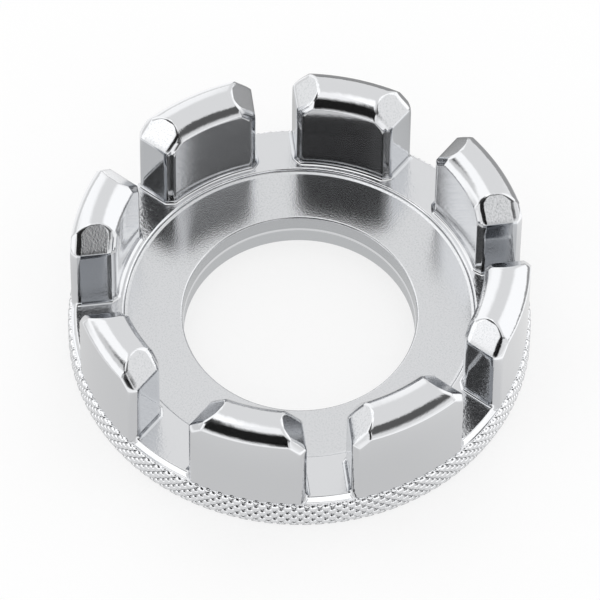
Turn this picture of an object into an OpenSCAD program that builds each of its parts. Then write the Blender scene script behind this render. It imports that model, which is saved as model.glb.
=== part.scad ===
// Round spoke wrench: a knurled ring with eight upright jaws.
// The eight gaps between the jaws are straight slots, graded in width for spoke nipples.
// The ring lies flat in the XY plane, its back face at Z = 0 and its axis on Z.
// All sizes are in millimetres.

/* [Ring] */
// Outer diameter over the crests of the knurl
rim_d = 36.8; // [34:0.1:48]
// Height of the knurled band
band_h = 2.8; // [2:0.1:5]
// Plain strip below and above the teeth of the knurl
band_edge = 0.05; // [0.05:0.05:0.4]
// Distance from one tooth of the knurl to the next, round the ring and up it
knurl_pitch = 1.01; // [0.8:0.01:2]
// How far the bottoms of the knurl lie outside the jaws' outer faces
knurl_root = 0.03; // [0.02:0.01:0.08]
// Width of the flat ledge between the shoulder and the jaws' outer faces
band_ledge = 0.1; // [0.05:0.01:0.15]
// How much higher than the knurled band the floor of the slots lies
shoulder_h = 0.5; // [0.1:0.1:1.5]
// How far in from the jaws' outer faces the floor of the slots ends
shoulder_w = 0.45; // [0.2:0.05:0.9]

/* [Centre disc] */
// Width of the narrow land between the jaws' inner faces and the centre disc
land_w = 0.65; // [0.6:0.05:2]
// How far the centre disc lies below the floor of the slots
disc_step = 0.3; // [0.1:0.05:1]
// Width of the centre disc, from the land to the round hole in the middle
disc_w = 4.6; // [2:0.1:8]
// Rounding of the hole's upper edge
bore_edge_r = 0.2; // [0.05:0.05:0.5]

/* [Jaws] */
// Thickness of a jaw from its inner to its outer face
jaw_t = 3.6; // [2.5:0.05:5]
// How far the jaws' outer faces lie inside the crests of the knurl
jaw_set_in = 0.25; // [0.1:0.05:0.6]
// Height of a jaw's straight faces above the floor of the slots
jaw_wall_h = 7.2; // [5:0.1:12]
// Rise of the crown above the straight faces
crown_rise = 1; // [0.2:0.05:1.6]
// Rounding of a jaw's four upright edges
jaw_edge_r = 0.65; // [0.1:0.05:0.8]
// Hollow rounding where a jaw stands on the floor
foot_r = 0.3; // [0.1:0.05:0.5]
// How far below the top of the straight faces the end facets begin
facet_drop = 0.82; // [0.3:0.02:2]
// Slope of the end facets, measured from the floor
facet_angle = 45; // [30:1:60]

/* [Slots] */
// Width of slot 1, on the +X axis
slot_1_w = 4; // [3:0.05:6]
// Width of slot 2, one eighth of a turn further round
slot_2_w = 3.55; // [3:0.05:6]
// Width of slot 3, on the +Y axis
slot_3_w = 4.5; // [3:0.05:6]
// Width of slot 4
slot_4_w = 3.3; // [3:0.05:6]
// Width of slot 5, on the -X axis
slot_5_w = 3.7; // [3:0.05:6]
// Width of slot 6
slot_6_w = 5.5; // [3:0.05:6]
// Width of slot 7, on the -Y axis
slot_7_w = 5; // [3:0.05:6]
// Width of slot 8
slot_8_w = 3.45; // [3:0.05:6]

/* [Hidden] */
$fn = 96;

// How far a cutting shape runs past what it cuts
overrun = 2;

// A full turn, and half of it, which puts the start of the revolved wall on the far side
// of each jaw
full_turn = 360;
half_turn = full_turn / 2;

slot_w = [slot_1_w, slot_2_w, slot_3_w, slot_4_w, slot_5_w, slot_6_w, slot_7_w, slot_8_w];
slot_count = len(slot_w);
slot_pitch = full_turn / slot_count;

// Radii, from the outside in
rim_r = rim_d / 2;
jaw_out_r = rim_r - jaw_set_in;
jaw_in_r = jaw_out_r - jaw_t;
jaw_mid_r = (jaw_out_r + jaw_in_r) / 2;
floor_out_r = jaw_out_r - shoulder_w;
disc_r = jaw_in_r - land_w;
bore_r = disc_r - disc_w;

// Heights, from the back face up
floor_z = band_h + shoulder_h;
disc_z = floor_z - disc_step;
wall_z = floor_z + jaw_wall_h;
crown_z = wall_z + crown_rise;
facet_z = wall_z - facet_drop;

// Teeth of the knurl in one round, and its levels: half a pitch apart, with the teeth of
// one level over the gaps of the level below
teeth_h = band_h - 2 * band_edge;
tooth_count = round(PI * rim_d / knurl_pitch);
level_count = 2 * round(teeth_h / knurl_pitch);
level_step = teeth_h / level_count;
column_count = 2 * tooth_count;
column_step = full_turn / column_count;
knurl_root_r = (jaw_out_r + knurl_root) / cos(column_step);
band_in_r = jaw_out_r - band_ledge;

// Height of the hollow foot: its radius and a thin straight lip below it
foot_lip_share = 0.15;
foot_h = foot_r * (1 + foot_lip_share);

// Radius of the crown's arc, which spans the jaw from face to face
crown_r = (pow(jaw_t / 2, 2) + pow(crown_rise, 2)) / (2 * crown_rise);

// Section of the ring without its teeth: a straight wall behind the knurl, the sloping
// shoulder above it and the flat land
module rim_section() {
    polygon([
        [disc_r, 0],
        [band_in_r, 0],
        [band_in_r, band_h],
        [floor_out_r, floor_z],
        [disc_r, floor_z]
    ]);
}

// A point of the knurl lies on a crest where its column and level add up to an even number
function knurl_point(column, level) =
    let (r = (column + level) % 2 == 0 ? rim_r : knurl_root_r)
    [r * cos(column * column_step), r * sin(column * column_step), band_edge + level * level_step];

// A point of the band's plain inner wall, below or above the outer points of its column
function knurl_inner_point(column, level) =
    [floor_out_r * cos(column * column_step), floor_out_r * sin(column * column_step),
     band_edge + level * level_step];

// Two faces between four neighbouring points, joined along the bottom of a groove. The last
// row of points is followed by the first.
function knurl_faces(column, level) =
    let (next = (column + 1) % column_count,
         low = level * column_count,
         high = (level + 1) % (level_count + 3) * column_count,
         corners = (column + level) % 2 == 0
             ? [high + column, high + next, low + next, low + column]
             : [low + column, high + column, high + next, low + next])
    [[corners[0], corners[1], corners[2]], [corners[0], corners[2], corners[3]]];

// Band with the diamond knurl outside: pointed teeth between grooves that cross. Its plain
// inner wall lies within the ring, and closes the rows of faces from the top to the bottom.
module knurl_band() {
    columns = [0 : column_count - 1];
    inner = [for (level = [level_count, 0]) for (column = columns) knurl_inner_point(column, level)];
    outer = [for (level = [0 : level_count]) for (column = columns) knurl_point(column, level)];
    polyhedron(concat(outer, inner), [
        for (level = [0 : level_count + 2]) for (column = columns) each knurl_faces(column, level)
    ]);
}

module knurled_rim() {
    color("gainsboro") union() {
        rotate_extrude() rim_section();
        knurl_band();
    }
}

// Section of the centre disc, with the hole's upper edge rounded
module disc_section() {
    difference() {
        translate([bore_r, 0]) square([disc_r - bore_r, disc_z]);
        difference() {
            translate([bore_r, disc_z - bore_edge_r]) square(bore_edge_r);
            translate([bore_r + bore_edge_r, disc_z - bore_edge_r]) circle(bore_edge_r);
        }
    }
}

module centre_disc() {
    color("silver") rotate_extrude() disc_section();
}

// Section of the hollow foot: it fills the corner at the origin, towards +X and +Y
module foot_section() {
    difference() {
        square([foot_r, foot_h]);
        translate([foot_r, foot_h]) circle(foot_r);
    }
}

// Section of the wall that all the jaws are cut from: straight faces, a crown in one
// arc from face to face, a hollow rounding at the inner foot, and a lip over the shoulder
module wall_section() {
    translate([jaw_in_r, floor_z]) square([jaw_t, jaw_wall_h]);
    intersection() {
        translate([jaw_in_r, wall_z]) square([jaw_t, crown_rise]);
        translate([jaw_mid_r, crown_z - crown_r]) circle(crown_r);
    }
    translate([jaw_in_r, floor_z]) mirror([1, 0]) foot_section();
    polygon([[floor_out_r, floor_z], [band_in_r, band_h], [jaw_out_r, band_h], [jaw_out_r, floor_z]]);
}

// Section of one slot across its length: rounded lower corners and a flared mouth
module slot_section(w) {
    foot_z = floor_z + foot_h;
    flare = crown_z + overrun - facet_z;
    half = w / 2;
    translate([-half, foot_z]) square([w, crown_z + overrun - foot_z]);
    translate([-half + foot_r, 0]) square([w - 2 * foot_r, foot_z]);
    for (side = [-1, 1]) translate([side * (half - foot_r), foot_z]) circle(foot_r);
    polygon([
        [-half, facet_z],
        [half, facet_z],
        [half + flare / tan(facet_angle), facet_z + flare],
        [-half - flare / tan(facet_angle), facet_z + flare]
    ]);
}

// A slot lies along +X and runs from the middle out past the knurl
module slot_cut(w) {
    rotate([90, 0, 90]) linear_extrude(rim_r + overrun) slot_section(w);
}

// What the rounding of one upright edge takes away, beside a slot along +X: the corner
// outside a round post. The jaw lies on the +Y side. face_r is the radius of the face
// that the edge belongs to, and out is 1 at the outer face and -1 at the inner one.
module edge_cut(w, face_r, out) {
    reach = foot_r + overrun;
    centre_r = face_r - out * jaw_edge_r;
    centre_y = w / 2 + jaw_edge_r;
    centre_x = sqrt(pow(centre_r, 2) - pow(centre_y, 2));
    far_share = (face_r + out * reach) / centre_r;
    difference() {
        linear_extrude(crown_z + overrun) polygon([
            [centre_x, centre_y],
            [centre_x, w / 2 - reach],
            [far_share * centre_x, w / 2 - reach],
            [far_share * centre_x, far_share * centre_y]
        ]);
        translate([centre_x, centre_y]) cylinder(r = jaw_edge_r, h = crown_z + overrun);
    }
}

// Wedge between the middle lines of two neighbouring slots
module sector() {
    far = 2 * rim_r;
    linear_extrude(crown_z + overrun)
        polygon([[0, 0], [far, 0], [far * cos(slot_pitch), far * sin(slot_pitch)]]);
}

// Jaw n stands between slot n and slot n + 1
module jaw(n) {
    w_before = slot_w[n - 1];
    w_after = slot_w[n % slot_count];
    color("whitesmoke") rotate((n - 1) * slot_pitch) difference() {
        intersection() {
            rotate(half_turn) rotate_extrude() wall_section();
            sector();
        }
        slot_cut(w_before);
        rotate(slot_pitch) slot_cut(w_after);
        edge_cut(w_before, jaw_in_r, -1);
        edge_cut(w_before, jaw_out_r, 1);
        rotate(slot_pitch) mirror([0, 1]) {
            edge_cut(w_after, jaw_in_r, -1);
            edge_cut(w_after, jaw_out_r, 1);
        }
    }
}

knurled_rim();
centre_disc();
jaw(1);  // jaw_1
jaw(2);  // jaw_2
jaw(3);  // jaw_3
jaw(4);  // jaw_4
jaw(5);  // jaw_5
jaw(6);  // jaw_6
jaw(7);  // jaw_7
jaw(8);  // jaw_8
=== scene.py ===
"""Round chrome spoke wrench on a pale studio floor."""

import math

import bpy
from mathutils import Matrix, Vector


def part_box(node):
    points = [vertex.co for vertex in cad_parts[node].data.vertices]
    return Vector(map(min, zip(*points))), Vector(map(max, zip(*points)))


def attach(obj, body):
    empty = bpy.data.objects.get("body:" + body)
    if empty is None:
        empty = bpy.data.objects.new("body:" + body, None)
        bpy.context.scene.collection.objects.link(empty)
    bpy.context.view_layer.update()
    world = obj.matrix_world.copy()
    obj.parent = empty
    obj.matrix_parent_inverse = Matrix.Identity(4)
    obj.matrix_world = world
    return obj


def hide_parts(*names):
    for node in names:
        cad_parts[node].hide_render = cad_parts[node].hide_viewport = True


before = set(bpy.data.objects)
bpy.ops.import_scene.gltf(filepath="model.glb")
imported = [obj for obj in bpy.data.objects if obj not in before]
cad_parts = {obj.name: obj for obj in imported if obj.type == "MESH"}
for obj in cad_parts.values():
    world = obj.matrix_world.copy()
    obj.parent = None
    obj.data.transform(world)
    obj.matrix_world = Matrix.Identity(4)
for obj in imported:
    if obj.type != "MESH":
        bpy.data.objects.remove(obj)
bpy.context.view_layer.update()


# Ring
# The ring is the body of the tool: forged steel, turned on its rim and chrome plated.
# Its flat land carries the jaws, and a small bevel runs down from it to the knurled band.

MM = 0.001
full_turn = 2 * math.pi
ring_steps = 288

# Sizes are in millimetres, and times MM they are in Blender's metres
rim_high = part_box("knurled_rim")[1]
crest_r = rim_high[0] / MM
land_z = rim_high[2] / MM
disc_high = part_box("centre_disc")[1]
disc_r = disc_high[0] / MM
disc_z = disc_high[2] / MM

knurl_depth = 0.25
root_r = crest_r - knurl_depth
band_h = 2.8
land_out_r = 17.78
bevel_out_r = 18.0
seam_gap = 0.02
# How far below the land the rounded edges still have its finish
land_edge = 0.05


def rounded_outline(corners):
    """Points of a closed outline; a corner is (radius, height, rounding)."""
    steps = 5
    points = []
    for index, (r, z, rounding) in enumerate(corners):
        here = Vector((r, z))
        if rounding == 0:
            points.append(here)
            continue
        before = Vector(corners[index - 1][:2]) - here
        after = Vector(corners[(index + 1) % len(corners)][:2]) - here
        half_angle = before.angle(after) / 2
        along = rounding / math.tan(half_angle)
        inwards = (before.normalized() + after.normalized()).normalized()
        centre = here + inwards * rounding / math.sin(half_angle)
        start = here + before.normalized() * along - centre
        end = here + after.normalized() * along - centre
        turn = start.angle_signed(end)
        for step in range(steps + 1):
            points.append(centre + Matrix.Rotation(-turn * step / steps, 2) @ start)
    return points


def new_piece(name, vertices, faces, materials):
    """A smooth mesh object from points in millimetres."""
    mesh = bpy.data.meshes.new(name)
    mesh.from_pydata([Vector(v) * MM for v in vertices], [], faces)
    for material in materials:
        mesh.materials.append(material)
    mesh.shade_smooth()
    piece = bpy.data.objects.new(name, mesh)
    bpy.context.scene.collection.objects.link(piece)
    return piece


def even_normals(piece):
    """Normals weighted by face area, so that flats stay flat beside a small rounding."""
    weighted = piece.modifiers.new("even normals", "WEIGHTED_NORMAL")
    weighted.mode = "FACE_AREA"
    weighted.weight = 60


def turned_piece(name, outline, materials, material_of):
    """A closed solid turned round Z. material_of picks the material at a point of the outline."""
    count = len(outline)
    vertices, faces = [], []
    for step in range(ring_steps):
        angle = full_turn * step / ring_steps
        vertices += [(r * math.cos(angle), r * math.sin(angle), z) for r, z in outline]
        here, there = step * count, (step + 1) % ring_steps * count
        for k in range(count):
            nxt = (k + 1) % count
            faces.append((here + k, there + k, there + nxt, here + nxt))
    piece = new_piece(name, vertices, faces, materials)
    for index, polygon in enumerate(piece.data.polygons):
        k = index % count
        polygon.material_index = material_of((outline[k] + outline[(k + 1) % count]) / 2)
    even_normals(piece)
    return piece


def linear(hex_colour):
    """An sRGB hex colour as linear RGBA."""
    parts = [int(hex_colour[i:i + 2], 16) / 255 for i in (1, 3, 5)]
    return [c / 12.92 if c <= 0.04045 else ((c + 0.055) / 1.055) ** 2.4 for c in parts] + [1.0]


def add_node(tree, kind, inputs=None, **settings):
    """Adds a node. Each input gets a value, a socket or a node, which stands for its first output."""
    node = tree.nodes.new(kind)
    for key, value in settings.items():
        setattr(node, key, value)
    for key, value in (inputs or {}).items():
        source = value.outputs[0] if isinstance(value, bpy.types.Node) else value
        if isinstance(source, bpy.types.NodeSocket):
            tree.links.new(source, node.inputs[key])
        else:
            node.inputs[key].default_value = source
    return node


def chrome(name, colour, roughness, grain_mm, grain_height, stretch=(1, 1, 1),
           wave_mm=0, wave_height=0, draft=None, rough_spread=0, pit_colour=None):
    """Chrome plate over the pitted skin of the steel, which is its grain.

    A wave is the plate's slow unevenness. Draft is (foot z, top z, degrees), for faces that
    lean out more and more towards their foot. The pits of the grain may be duller than the
    rest by rough_spread, and have a colour of their own.
    """
    material = bpy.data.materials.new(name)
    material.use_nodes = True
    tree = material.node_tree
    shader = tree.nodes["Principled BSDF"]
    shader.inputs["Base Color"].default_value = linear(colour)
    shader.inputs["Metallic"].default_value = 1.0
    shader.inputs["Roughness"].default_value = roughness
    place = add_node(tree, "ShaderNodeTexCoord").outputs["Object"]
    stretched = add_node(tree, "ShaderNodeMapping", {"Vector": place, "Scale": stretch})
    grain = add_node(tree, "ShaderNodeTexNoise", {"Vector": stretched, "Scale": 1 / (grain_mm * MM),
                                                  "Detail": 2.0, "Roughness": 0.6})
    bump = add_node(tree, "ShaderNodeBump", {"Height": grain, "Strength": 1.0,
                                             "Distance": grain_height * MM})
    if wave_mm:
        wave = add_node(tree, "ShaderNodeTexNoise", {"Vector": place, "Scale": 1 / (wave_mm * MM),
                                                     "Detail": 1.0})
        bump = add_node(tree, "ShaderNodeBump", {"Height": wave, "Normal": bump, "Strength": 1.0,
                                                 "Distance": wave_height * MM})
    if draft:
        foot_z, top_z, lean = draft
        height = add_node(tree, "ShaderNodeSeparateXYZ", {"Vector": place}).outputs["Z"]
        below = add_node(tree, "ShaderNodeMapRange", {"Value": height, "From Min": top_z * MM,
                                                      "From Max": foot_z * MM})
        square = add_node(tree, "ShaderNodeMath", {0: below, 1: below}, operation="MULTIPLY")
        reach = math.tan(math.radians(lean)) * (top_z - foot_z) / 2
        bump = add_node(tree, "ShaderNodeBump", {"Height": square, "Normal": bump, "Strength": 1.0,
                                                 "Distance": reach * MM})
    tree.links.new(bump.outputs[0], shader.inputs["Normal"])
    # The noise hardly leaves the range from lowest to highest, and its upper part is the pits
    lowest, pits_from, pits_full, highest = 0.35, 0.5, 0.64, 0.65
    if rough_spread:
        spread = add_node(tree, "ShaderNodeMapRange", {
            "Value": grain, "From Min": lowest, "From Max": highest,
            "To Min": roughness, "To Max": roughness + rough_spread})
        tree.links.new(spread.outputs[0], shader.inputs["Roughness"])
    if pit_colour:
        pits = add_node(tree, "ShaderNodeMapRange", {"Value": grain, "From Min": pits_from,
                                                     "From Max": pits_full})
        spots = add_node(tree, "ShaderNodeMix", {0: pits, 6: linear(colour), 7: linear(pit_colour)},
                         data_type="RGBA")
        tree.links.new(spots.outputs[2], shader.inputs["Base Color"])
    return material


# Bright plate over a coarse cast grain: it sparkles white where it mirrors the dark
land_chrome = chrome("land_chrome", "#D8D9DB", 0.12, grain_mm=0.2, grain_height=0.015,
                     rough_spread=0.06)
# Chrome plate over turned and rolled steel: the bevel and the knurl. Its colour is lighter than the jaws'
# plate, and that lighter colour is painted light
rim_painted_light_chrome = chrome("rim_painted_light_chrome", "#ECEDEF", 0.14, grain_mm=0.3, grain_height=0.002)

# Out along the back, up the knurled band and its bevel, and in over the land
ring_outline = rounded_outline([
    (disc_r + seam_gap, 0, 0),
    (root_r, 0, 0.15),
    (root_r, band_h, 0.03),
    (bevel_out_r, band_h, 0.05),
    (land_out_r, land_z, 0.12),
    (disc_r + seam_gap, land_z, 0.2),
])


def ring_material(point):
    """The land's plate up to the middle of the bevel, and the rim's beyond it and below."""
    on_land = point.y > land_z - land_edge and point.x < (land_out_r + bevel_out_r) / 2
    return 0 if on_land else 1


ring = turned_piece("ring_body", ring_outline, [land_chrome, rim_painted_light_chrome], ring_material)
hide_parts("knurled_rim")
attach(ring, "root")


# Knurl
# The rim's grip: rows of small blunt teeth, rolled into the steel by two crossed wheels
# and softened by the plating that lies over them.

tooth_count = 114
tooth_pitch = full_turn * crest_r / tooth_count
band_edge = 0.05
row_count = 7
row_pitch = (band_h - 2 * band_edge) / (row_count - 1)
# Over a strip along both edges of the band the teeth grow lower, by this much at the edge
edge_strip = 0.4
edge_drop = 0.16

# Rings of one tooth from its foot to its blunt top: half width, and height, as shares
tooth_rings = [(1.0, 0.0), (0.85, 0.5), (0.7, 0.86), (0.52, 0.97), (0.2, 1.0)]
tooth_sides = 4
tooth_vertices = []
for half_width, height in tooth_rings:
    for side in range(tooth_sides):
        angle = full_turn * side / tooth_sides
        tooth_vertices.append((height, half_width * math.cos(angle), half_width * math.sin(angle)))
tooth_faces = [tuple(range(len(tooth_vertices) - tooth_sides, len(tooth_vertices)))]
for tier in range(len(tooth_rings) - 1):
    low, high = tier * tooth_sides, (tier + 1) * tooth_sides
    for side in range(tooth_sides):
        nxt = (side + 1) % tooth_sides
        tooth_faces.append((low + side, low + nxt, high + nxt, high + side))
tooth_faces.append(tuple(reversed(range(tooth_sides))))
tooth_mesh = bpy.data.meshes.new("knurl_tooth")
tooth_mesh.from_pydata(tooth_vertices, [], tooth_faces)
tooth = bpy.data.objects.new("knurl_tooth", tooth_mesh)

knurl_tree = bpy.data.node_groups.new("knurl rows", "GeometryNodeTree")
knurl_inputs = {}
for label, kind, value in (("Tooth", "NodeSocketObject", tooth),
                           ("Teeth", "NodeSocketInt", tooth_count),
                           ("Rows", "NodeSocketInt", row_count),
                           ("Row pitch", "NodeSocketFloat", row_pitch * MM),
                           ("Root radius", "NodeSocketFloat", root_r * MM),
                           ("Depth", "NodeSocketFloat", knurl_depth * MM),
                           ("Half width", "NodeSocketFloat", tooth_pitch / 2 * MM),
                           ("Lowest", "NodeSocketFloat", band_edge * MM),
                           ("Highest", "NodeSocketFloat", (band_h - band_edge) * MM),
                           ("Edge strip", "NodeSocketFloat", edge_strip * MM),
                           ("Edge radius share", "NodeSocketFloat", 1 - edge_drop / root_r),
                           ("Material", "NodeSocketMaterial", rim_painted_light_chrome)):
    socket = knurl_tree.interface.new_socket(label, in_out="INPUT", socket_type=kind)
    knurl_inputs[socket.identifier] = value
knurl_tree.interface.new_socket("Geometry", in_out="OUTPUT", socket_type="NodeSocketGeometry")
given = add_node(knurl_tree, "NodeGroupInput").outputs

# The teeth are counted round the ring, row after row, and every other row is shifted by half
# a tooth, over the gaps of the row below
index = add_node(knurl_tree, "GeometryNodeInputIndex")
tooth_total = add_node(knurl_tree, "ShaderNodeMath", {0: given["Teeth"], 1: given["Rows"]},
                       operation="MULTIPLY")
rounds = add_node(knurl_tree, "ShaderNodeMath", {0: index, 1: given["Teeth"]}, operation="DIVIDE")
row = add_node(knurl_tree, "ShaderNodeMath", {0: rounds}, operation="FLOOR")
in_row = add_node(knurl_tree, "ShaderNodeMath", {0: index, 1: given["Teeth"]}, operation="MODULO")
odd_row = add_node(knurl_tree, "ShaderNodeMath", {0: row, 1: 2}, operation="MODULO")
shifted = add_node(knurl_tree, "ShaderNodeMath", {0: odd_row, 1: 0.5, 2: in_row},
                   operation="MULTIPLY_ADD")
round_share = add_node(knurl_tree, "ShaderNodeMath", {0: shifted, 1: given["Teeth"]}, operation="DIVIDE")
tooth_angle = add_node(knurl_tree, "ShaderNodeMath", {0: round_share, 1: full_turn}, operation="MULTIPLY")
row_height = add_node(knurl_tree, "ShaderNodeMath",
                      {0: row, 1: given["Row pitch"], 2: given["Lowest"]}, operation="MULTIPLY_ADD")
row_start = add_node(knurl_tree, "ShaderNodeCombineXYZ", {"X": given["Root radius"], "Z": row_height})
tooth_place = add_node(knurl_tree, "ShaderNodeVectorRotate", {"Vector": row_start, "Angle": tooth_angle},
                       rotation_type="Z_AXIS")
places = add_node(knurl_tree, "GeometryNodePoints", {"Count": tooth_total, "Position": tooth_place})
tooth_shape = add_node(knurl_tree, "GeometryNodeObjectInfo", {"Object": given["Tooth"]})
tooth_turn = add_node(knurl_tree, "ShaderNodeCombineXYZ", {"Z": tooth_angle})
tooth_scale = add_node(knurl_tree, "ShaderNodeCombineXYZ",
                       {"X": given["Depth"], "Y": given["Half width"], "Z": given["Row pitch"]})
teeth = add_node(knurl_tree, "GeometryNodeInstanceOnPoints",
                 {"Points": places, "Instance": tooth_shape.outputs["Geometry"],
                  "Rotation": tooth_turn, "Scale": tooth_scale})
real_teeth = add_node(knurl_tree, "GeometryNodeRealizeInstances", {"Geometry": teeth})

# Teeth that reach over an edge of the band end at it, and towards both edges they grow lower
position = add_node(knurl_tree, "GeometryNodeInputPosition")
parts = add_node(knurl_tree, "ShaderNodeSeparateXYZ", {"Vector": position}).outputs
kept_z = add_node(knurl_tree, "ShaderNodeClamp",
                  {"Value": parts["Z"], "Min": given["Lowest"], "Max": given["Highest"]})
from_foot = add_node(knurl_tree, "ShaderNodeMath", {0: kept_z, 1: given["Lowest"]}, operation="SUBTRACT")
from_top = add_node(knurl_tree, "ShaderNodeMath", {0: given["Highest"], 1: kept_z}, operation="SUBTRACT")
from_edge = add_node(knurl_tree, "ShaderNodeMath", {0: from_foot, 1: from_top}, operation="MINIMUM")
drawn_in = add_node(knurl_tree, "ShaderNodeMapRange",
                    {"Value": from_edge, "From Min": 0, "From Max": given["Edge strip"],
                     "To Min": given["Edge radius share"], "To Max": 1})
kept_x = add_node(knurl_tree, "ShaderNodeMath", {0: parts["X"], 1: drawn_in}, operation="MULTIPLY")
kept_y = add_node(knurl_tree, "ShaderNodeMath", {0: parts["Y"], 1: drawn_in}, operation="MULTIPLY")
kept_place = add_node(knurl_tree, "ShaderNodeCombineXYZ", {"X": kept_x, "Y": kept_y, "Z": kept_z})
trimmed = add_node(knurl_tree, "GeometryNodeSetPosition", {"Geometry": real_teeth, "Position": kept_place})
smooth = add_node(knurl_tree, "GeometryNodeSetShadeSmooth", {"Geometry": trimmed})
plated = add_node(knurl_tree, "GeometryNodeSetMaterial",
                  {"Geometry": smooth, "Material": given["Material"]})
add_node(knurl_tree, "NodeGroupOutput", {"Geometry": plated})


def grown_piece(name, tree, values):
    """Runs a Geometry Nodes tree once and keeps its result as a plain mesh object."""
    carrier = bpy.data.objects.new(name, bpy.data.meshes.new(name + "_seed"))
    bpy.context.scene.collection.objects.link(carrier)
    grower = carrier.modifiers.new(name, "NODES")
    grower.node_group = tree
    for identifier, value in values.items():
        grower[identifier] = value
    evaluated = carrier.evaluated_get(bpy.context.evaluated_depsgraph_get())
    mesh = bpy.data.meshes.new_from_object(evaluated)
    carrier.modifiers.remove(grower)
    carrier.data = mesh
    return carrier


knurl = grown_piece("knurl", knurl_tree, knurl_inputs)
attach(knurl, "root")


# Centre disc
# The thin middle of the tool, a little lower than the land, with the round hole punched
# through it. The punch sheared the upper half of the wall and tore the lower half.

bore_r = 9.3
torn_r = 9.22
torn_z = 1.5
# A small ridge runs round the wall where the shear turned into the tear
ridge_top_z = torn_z + 0.1
ridge_foot_z = torn_z - 0.08
ridge_edge = 0.01
# How far the disc's own plate reaches over the rounded edge of the hole
plate_edge = 0.12

# Bright plate over a fine cast grain: it glitters, and its reflections are broken up
grained_chrome = chrome("grained_chrome", "#D5D6D8", 0.14, grain_mm=0.13, grain_height=0.008,
                        rough_spread=0.08, pit_colour="#CCCED0")
# Sheared steel under plate: fine upright streaks
streaked_chrome = chrome("streaked_chrome", "#C2C4C6", 0.24, grain_mm=0.35, grain_height=0.01,
                         stretch=(1, 1, 0.12))
# Torn steel under plate: dull and even
torn_chrome = chrome("torn_chrome", "#CDCFD1", 0.32, grain_mm=0.3, grain_height=0.006)

# Out along the back, up the seam, in over the disc and down the wall of the hole
disc_outline = rounded_outline([
    (torn_r, 0, 0.1),
    (disc_r, 0, 0),
    (disc_r, disc_z + 0.12, 0),
    (disc_r - 0.04, disc_z + 0.05, 0.05),
    (disc_r - 0.25, disc_z, 0.1),
    (bore_r, disc_z, 0.2),
    (bore_r, ridge_top_z, 0.03),
    (torn_r, ridge_foot_z, 0.03),
])


def disc_material(point):
    """The plate of the disc, of the two bands of its wall, and of the ridge between them."""
    if point.x > bore_r + plate_edge or point.y > disc_z - plate_edge:
        return 0
    if ridge_foot_z + ridge_edge < point.y < ridge_top_z - ridge_edge:
        return 3
    return 1 if point.y > torn_z else 2


disc = turned_piece("centre_disc_plate", disc_outline,
                    [grained_chrome, streaked_chrome, torn_chrome, rim_painted_light_chrome], disc_material)
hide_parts("centre_disc")
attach(disc, "root")


# Jaws
# Eight upright jaws, forged in one with the ring and plated to a mirror. Each has a crowned
# top and a sloping facet at both ends, which leads a nipple into the slot beside it.

slot_widths = [4, 3.55, 4.5, 3.3, 3.7, 5.5, 5, 3.45]
slot_angle = full_turn / len(slot_widths)

jaw_in_r = 14.55
jaw_out_r = 18.15
jaw_mid_r = (jaw_in_r + jaw_out_r) / 2
jaw_half_t = (jaw_out_r - jaw_in_r) / 2
wall_z = 10.5
crown_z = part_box("jaw_1")[1][2] / MM
crown_r = (jaw_half_t ** 2 + (crown_z - wall_z) ** 2) / (2 * (crown_z - wall_z))
crown_centre_z = crown_z - crown_r

# The upright edges are broken nearly flat: 1 would be a straight chamfer, and 0 a round
edge_r = 0.48
edge_flatness = 0.95
# The facets slope at 45 degrees from facet_z up, are blended in there over facet_blend, and
# turn over into the crown on their last facet_top_drop
facet_z = 9.68
facet_blend = 0.14
facet_top_drop = 0.14
facet_half_t = 1.32
facet_edge_r = 0.1
# The rounding between a straight face and the crown, and the hollow one at the foot
crease_r = 0.15
foot_r = 0.3
# How deep the jaw's root goes into the ring, how much thinner it is at its end, and the
# thin lip below the hollow rounding
root_depth = 0.3
root_taper = 0.15
foot_lip = 0.02

# The straight faces lean out by up to 1.5 degrees towards the foot, as the die left them.
# The lean is too small to model, and shows only in what they mirror.
wall_draft = (land_z, wall_z - 0.8, 1.5)
# Mirror plate over linished steel, not quite even
mirror_chrome = chrome("mirror_chrome", "#D6D7D9", 0.07, grain_mm=0.16, grain_height=0.0014,
                       wave_mm=1.6, wave_height=0.005, draft=wall_draft)
# Inside the slots the plate is given a darker colour: painted shade in the slots' recesses
slot_painted_shade_chrome = chrome("slot_painted_shade_chrome", "#C4C6C9", 0.08, grain_mm=0.16, grain_height=0.0014,
                     wave_mm=1.6, wave_height=0.005, draft=wall_draft)
# The crowns are left as forged before plating, so the edges of what they mirror are ragged
crown_chrome = chrome("crown_chrome", "#D6D7D9", 0.08, grain_mm=0.12, grain_height=0.0035,
                      wave_mm=0.7, wave_height=0.009)
# The facets keep the skin of the die: a salt-and-pepper grain under bright plate
facet_chrome = chrome("facet_chrome", "#DCDDDF", 0.09, grain_mm=0.16, grain_height=0.004,
                      rough_spread=0.05, pit_colour="#D2D4D6")

# Points of a level: along the inner and the outer face, round an edge, and across an end
arc_steps = 36
corner_steps = 8
side_steps = 8
end_count = 2 * (corner_steps + 1) + side_steps - 1


def facet_set_back(z):
    """How far an end lies behind the slot's side at a height."""
    above = z - facet_z
    blended = (above + math.sqrt(above ** 2 + facet_blend ** 2)) / 2
    # Near its top the facet turns over into the crown, in an arc that takes up its slope
    slope_sine = math.sqrt(0.5)
    turn_r = facet_top_drop / (1 - slope_sine)
    rise = max(0, z - (crown_z - facet_top_drop))
    height = min(1, slope_sine + rise / turn_r)
    return blended + turn_r * (slope_sine - math.sqrt(1 - height ** 2)) - rise


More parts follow.
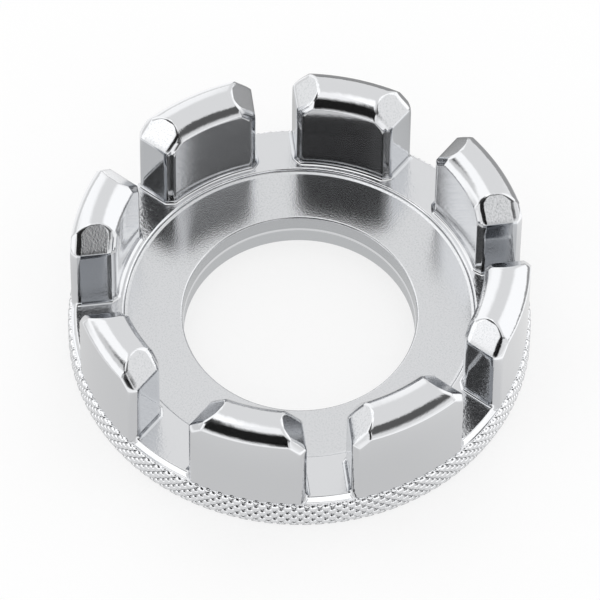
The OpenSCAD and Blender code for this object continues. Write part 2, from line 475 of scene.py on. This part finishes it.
def jaw_levels():
    """Levels from the root up: height, half thickness, foot spread, share of the bevel's fall."""
    levels = [(land_z - root_depth, jaw_half_t - root_taper, foot_r, 1),
              (land_z - foot_lip, jaw_half_t, foot_r, 1)]
    foot_steps = 6
    for step in range(foot_steps + 1):
        angle = math.pi / 2 * step / foot_steps
        rise, spread = foot_r * (1 - math.cos(angle)), foot_r * (1 - math.sin(angle))
        levels.append((land_z + rise, jaw_half_t, spread, 1))
    # The levels of the straight faces lie closer where the facets begin and towards the crown
    straight = [4.6, 6, 8, 9.2]
    straight += [facet_z + step for step in (-0.2, -0.1, -0.03, 0.04, 0.12, 0.25)]
    straight += [wall_z - step for step in (0.5, 0.42, 0.34, 0.26, 0.18)]
    levels += [(z, jaw_half_t, 0, 0) for z in straight]
    crease_z = crown_centre_z + math.sqrt((crown_r - crease_r) ** 2 - (jaw_half_t - crease_r) ** 2)
    crease_end = math.atan2(crease_z - crown_centre_z, jaw_half_t - crease_r)
    crease_steps = 5
    for step in range(crease_steps):
        angle = crease_end * step / crease_steps
        half_t = jaw_half_t - crease_r * (1 - math.cos(angle))
        levels.append((crease_z + crease_r * math.sin(angle), half_t, 0, 0))
    crown_steps = 30
    for step in range(crown_steps):
        angle = crease_end + (math.pi / 2 - crease_end) * step / crown_steps
        levels.append((crown_centre_z + crown_r * math.sin(angle), crown_r * math.cos(angle), 0, 0))
    return levels


def corner_rounding(half_t):
    """The upright edges run on beside the facets, which keep their width up into the crown."""
    widest = 0.8 * half_t
    return min(max(half_t - facet_half_t, facet_edge_r), edge_r, widest)


def end_outline(half_w, half_t, set_back):
    """One end of a level beside a slot along +X, from its inner face to its outer one.

    Each point comes with its normal.
    """
    rounding = corner_rounding(half_t)
    y = half_w + set_back
    points = []
    for face_r, inward in ((jaw_mid_r - half_t + rounding, True), (jaw_mid_r + half_t - rounding, False)):
        centre = Vector((math.sqrt(face_r ** 2 - (y + rounding) ** 2), y + rounding))
        radial = math.atan2(centre.y, centre.x)
        first = radial - math.pi if inward else -math.pi / 2
        last = -math.pi / 2 if inward else radial
        corner = []
        for step in range(corner_steps + 1):
            share = step / corner_steps
            angle = first + (last - first) * share
            normal = Vector((math.cos(angle), math.sin(angle)))
            # The edge is broken almost flat, as by a linishing belt
            along = math.pi / 2 * share
            flat = (math.cos(along) + math.sin(along)) ** edge_flatness
            corner.append((centre + rounding / flat * normal, normal))
        if not inward:
            start, end = points[-1][0], corner[0][0]
            for step in range(1, side_steps):
                points.append((start.lerp(end, step / side_steps), Vector((0, -1))))
        points += corner
    return points


def face_arc(start, end):
    """The points between two ends of a level, along its inner or its outer face."""
    r = start.length
    first, last = math.atan2(start.y, start.x), math.atan2(end.y, end.x)
    outwards = 1 if last > first else -1
    points = []
    for step in range(1, arc_steps):
        angle = first + (last - first) * step / arc_steps
        place = Vector((r * math.cos(angle), r * math.sin(angle)))
        points.append((place, place.normalized() * outwards))
    return points


def bevel_fall(r):
    """How far the bevel lies below the land at a radius."""
    slope = (land_z - band_h) / (bevel_out_r - land_out_r)
    return slope * max(0, min(r, bevel_out_r) - land_out_r)


def jaw_loop(level, w_before, w_after):
    """One closed level of a jaw that starts beside the slot along +X."""
    z, half_t, spread, fall_share = level
    set_back = facet_set_back(z)
    near = end_outline(w_before / 2, half_t, set_back)
    # The far end is a near one, mirrored and turned on to the next slot
    turn = Matrix.Rotation(slot_angle, 2)
    far = []
    for place, normal in reversed(end_outline(w_after / 2, half_t, set_back)):
        far.append((turn @ Vector((place.x, -place.y)), turn @ Vector((normal.x, -normal.y))))
    outer, inner = face_arc(near[-1][0], far[0][0]), face_arc(far[-1][0], near[0][0])
    loop = []
    for place, normal in near + outer + far + inner:
        # The foot spreads towards the slots and the middle, and not over the bevel
        outward = max(0, normal.dot(place.normalized()))
        moved = place + normal * (spread * (1 - outward ** 2))
        loop.append((moved.x, moved.y, z - fall_share * bevel_fall(moved.length)))
    return loop


def make_jaw(number):
    """Jaw n stands between slot n and slot n + 1."""
    w_before, w_after = slot_widths[number - 1], slot_widths[number % len(slot_widths)]
    levels = jaw_levels()
    turn = Matrix.Rotation((number - 1) * slot_angle, 3, "Z")
    vertices, faces = [], []
    for level in levels:
        vertices += [turn @ Vector(point) for point in jaw_loop(level, w_before, w_after)]
    count = len(vertices) // len(levels)
    tiers = len(levels) - 1
    for tier in range(tiers):
        low, high = tier * count, (tier + 1) * count
        for k in range(count):
            nxt = (k + 1) % count
            faces.append((low + k, low + nxt, high + nxt, high + k))
    # The top and the bottom are closed by strips across the jaw, from one end to the other
    middle = end_count // 2
    top = tiers * count
    pairs = [((middle + step) % count, (middle - step) % count) for step in range(count // 2 + 1)]
    for (a, b), (c, d) in zip(pairs, pairs[1:]):
        lid = list(dict.fromkeys((a, c, d, b)))
        faces.append(tuple(top + k for k in lid))
        faces.append(tuple(reversed(lid)))
    piece = new_piece("jaw_body_%d" % number, vertices, faces,
                      [mirror_chrome, facet_chrome, crown_chrome, slot_painted_shade_chrome])
    # The ends have the slot's darker plate, which is painted shade, and above it the facet's. The rest of
    # the top has the crown's.
    near_end = range(corner_steps, corner_steps + side_steps)
    end_columns = set(near_end) | {k + end_count + arc_steps - 1 for k in near_end}
    for face in range(tiers * count):
        tier, k = divmod(face, count)
        z = levels[tier][0]
        if k in end_columns:
            piece.data.polygons[face].material_index = 1 if z > facet_z else 3
        elif z > wall_z:
            piece.data.polygons[face].material_index = 2
    even_normals(piece)
    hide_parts("jaw_%d" % number)
    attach(piece, "root")


for number in range(1, len(slot_widths) + 1):
    make_jaw(number)


# Studio
# A plain pale floor under plain soft light, with the camera where the photograph was taken
# from. The metal mirrors a white room with a few dark openings, the widest round the camera.

view_turn = math.radians(37)
view_rise = math.radians(54.74)
view_roll = math.radians(0.746)
view_distance = 567.4 * MM
view_target = Vector((-2.005, 2.699, 0)) * MM

back = Vector((math.sin(view_turn) * math.cos(view_rise), -math.cos(view_turn) * math.cos(view_rise),
               math.sin(view_rise)))
right = Vector((math.cos(view_turn), math.sin(view_turn), 0))
up = back.cross(right)
rolled_right = right * math.cos(view_roll) + up * math.sin(view_roll)
rolled_up = back.cross(rolled_right)
camera_data = bpy.data.cameras.new("camera")
camera_data.lens = 425.3
camera_data.sensor_width = 36
camera = bpy.data.objects.new("camera", camera_data)
placed_turn = Matrix((rolled_right, rolled_up, back)).transposed().to_4x4()
camera.matrix_world = Matrix.Translation(view_target + back * view_distance) @ placed_turn
bpy.context.scene.collection.objects.link(camera)
bpy.context.scene.camera = camera

# The floor in metres, a hair below the tool
floor_half = 2
floor_z = -0.02 * MM
floor_mesh = bpy.data.meshes.new("floor")
floor_mesh.from_pydata([(-floor_half, -floor_half, floor_z), (floor_half, -floor_half, floor_z),
                        (floor_half, floor_half, floor_z), (-floor_half, floor_half, floor_z)],
                       [], [(0, 1, 2, 3)])
floor = bpy.data.objects.new("floor", floor_mesh)
bpy.context.scene.collection.objects.link(floor)

# Matt white card. The camera sees it white but for the tool's soft shadow. The metal sees it glow with
# painted light and shade instead:
# painted shade close to the tool and again where it runs off towards the unlit back of the room, and
# painted light further out.
floor_paint = bpy.data.materials.new("matt_white_card")
floor_paint.use_nodes = True
card = floor_paint.node_tree
card_shader = card.nodes["Principled BSDF"]
card_shader.inputs["Base Color"].default_value = linear("#FFFFFF")
card_shader.inputs["Roughness"].default_value = 0.9
card_shader.inputs["Specular IOR Level"].default_value = 0.0
card_place = add_node(card, "ShaderNodeTexCoord").outputs["Object"]


def card_shade(turn_right, near_mm, far_mm, start, end):
    """A smooth change of the card's painted light and shade along a line that is turned to the right of
    the camera.
    """
    toward = view_turn - math.pi / 2 + math.radians(turn_right)
    along = add_node(card, "ShaderNodeVectorMath",
                     {0: card_place, 1: (math.cos(toward), math.sin(toward), 0)}, operation="DOT_PRODUCT")
    return add_node(card, "ShaderNodeMapRange",
                    {"Value": along.outputs["Value"], "From Min": near_mm * MM, "From Max": far_mm * MM,
                     "To Min": start, "To Max": end}, interpolation_type="SMOOTHSTEP")


# All round, painted shade darkens the card close to the tool, and painted light brightens it further out
card_distance = add_node(card, "ShaderNodeVectorMath", {0: card_place}, operation="LENGTH")
card_light = add_node(card, "ShaderNodeMapRange",
                      {"Value": card_distance.outputs["Value"], "From Min": 22 * MM, "From Max": 36 * MM,
                       "To Min": 0.77, "To Max": 1.25}, interpolation_type="SMOOTHSTEP")
# Its painted dark part lies behind the tool, from the middle to the right. More painted shade lies far to
# the left, and painted light near the right
back_and_right = add_node(card, "ShaderNodeMath", {0: card_shade(180, 14, 27, 0, -0.7),
                                                   1: card_shade(90, -6, 2, 0, 1), 2: 1},
                          operation="MULTIPLY_ADD")
far_left = card_shade(-118, 40, 90, 1, 0.7)
near_right = card_shade(85, 12, 26, 1, 1.15)
for shade in (back_and_right, far_left, near_right):
    card_light = add_node(card, "ShaderNodeMath", {0: card_light, 1: shade}, operation="MULTIPLY")
card_white = add_node(card, "ShaderNodeEmission", {"Color": linear("#FFFFFF")})
# What the metal mirrors of the card glows with this painted light and shade
card_mirrored = add_node(card, "ShaderNodeEmission", {"Color": linear("#FFFFFF"), "Strength": card_light})
card_path = add_node(card, "ShaderNodeLightPath").outputs
# The share of plain white that the camera sees in the card, over its shaded paint
card_glow = 0.7
card_glow_seen = add_node(card, "ShaderNodeMath", {0: card_path["Is Camera Ray"], 1: card_glow},
                          operation="MULTIPLY")
card_for_camera = add_node(card, "ShaderNodeMixShader", {0: card_glow_seen, 1: card_shader, 2: card_white})
card_for_all = add_node(card, "ShaderNodeMixShader",
                        {0: card_path["Is Glossy Ray"], 1: card_for_camera, 2: card_mirrored})
card.links.new(card_for_all.outputs[0], card.nodes["Material Output"].inputs["Surface"])
floor_mesh.materials.append(floor_paint)

world = bpy.data.worlds.new("studio")
bpy.context.scene.world = world
world.use_nodes = True
sky = world.node_tree
sky.nodes.clear()

# A direction of the room, in degrees to the right of the camera and degrees above the floor
direction = add_node(sky, "ShaderNodeTexCoord").outputs["Generated"]
rise = add_node(sky, "ShaderNodeSeparateXYZ", {"Vector": direction}).outputs["Z"]
forward = add_node(sky, "ShaderNodeVectorMath",
                   {0: direction, 1: (math.sin(view_turn), -math.cos(view_turn), 0)},
                   operation="DOT_PRODUCT").outputs["Value"]
sideways = add_node(sky, "ShaderNodeVectorMath",
                    {0: direction, 1: (math.cos(view_turn), math.sin(view_turn), 0)},
                    operation="DOT_PRODUCT").outputs["Value"]
rise_angle = add_node(sky, "ShaderNodeMath", {0: rise}, operation="ARCSINE")
side_angle = add_node(sky, "ShaderNodeMath", {0: sideways, 1: forward}, operation="ARCTAN2")
above_floor = add_node(sky, "ShaderNodeMath", {0: rise_angle}, operation="DEGREES")
to_the_right = add_node(sky, "ShaderNodeMath", {0: side_angle}, operation="DEGREES")

# What the metal sees all round: degrees to the right of the camera where a patch fades in and
# out, degrees above the floor where it fades in and out, and how much it adds or takes away
white_panels = [
    ((-160, -145, -64, -57), (-20, -10, 74, 86), 0.4),
    ((84, 96, 134, 148), (-20, -10, 50, 64), 0.42),
    ((-178, -168, -160, -145), (-20, -10, 28, 44), 0.32),
    ((-76, -68, -50, -44), (22, 26, 32, 38), 0.18),
    ((-60, -40, 60, 80), (-20, -5, 10, 16), 0.25),
    ((-150, -110, -10, 20), (60, 70, 91, 92), 0.3),
]
dark_patches = [
    ((-52, -43, 9, 16), (13, 25, 56, 72), 0.985),
    ((-14, -6, 10, 16), (10, 16, 26, 34), 0.9),
    ((20, 30, 72, 80), (20, 33, 55, 62), 0.87),
    ((-106, -88, -50, -40), (36, 44, 62, 74), 0.95),
    ((-110, -102, -80, -70), (22, 30, 42, 52), 0.38),
    ((-140, -124, -104, -92), (-30, -29, 8, 18), 0.25),
    ((0, 10, 22, 34), (40, 50, 56, 68), 0.8),
]


def room_patch(turns, heights):
    """1 inside a patch of the room and 0 outside it, with soft sides."""
    inside = 1
    for place, (start, full, fading, end) in ((to_the_right, turns), (above_floor, heights)):
        for begin, finish, low, high in ((start, full, 0, 1), (fading, end, 1, 0)):
            side = add_node(sky, "ShaderNodeMapRange",
                            {"Value": place, "From Min": begin, "From Max": finish,
                             "To Min": low, "To Max": high}, interpolation_type="SMOOTHSTEP")
            inside = add_node(sky, "ShaderNodeMath", {0: inside, 1: side}, operation="MULTIPLY")
    return inside


room = 1
for turns, heights, share in white_panels:
    room = add_node(sky, "ShaderNodeMath", {0: room_patch(turns, heights), 1: share, 2: room},
                    operation="MULTIPLY_ADD")
for turns, heights, share in dark_patches:
    left = add_node(sky, "ShaderNodeMath", {0: room_patch(turns, heights), 1: -share, 2: 1},
                    operation="MULTIPLY_ADD")
    room = add_node(sky, "ShaderNodeMath", {0: room, 1: left}, operation="MULTIPLY")

# Only what the metal mirrors is shaped: all else sees and is lit by plain white
is_mirrored = add_node(sky, "ShaderNodeLightPath").outputs["Is Glossy Ray"]
seen = add_node(sky, "ShaderNodeMix", {0: is_mirrored, 2: 1, 3: room}, data_type="FLOAT")
background = add_node(sky, "ShaderNodeBackground", {"Color": linear("#FFFFFF"), "Strength": seen})
add_node(sky, "ShaderNodeOutputWorld", {"Surface": background})

bpy.context.scene.view_settings.view_transform = "Standard"
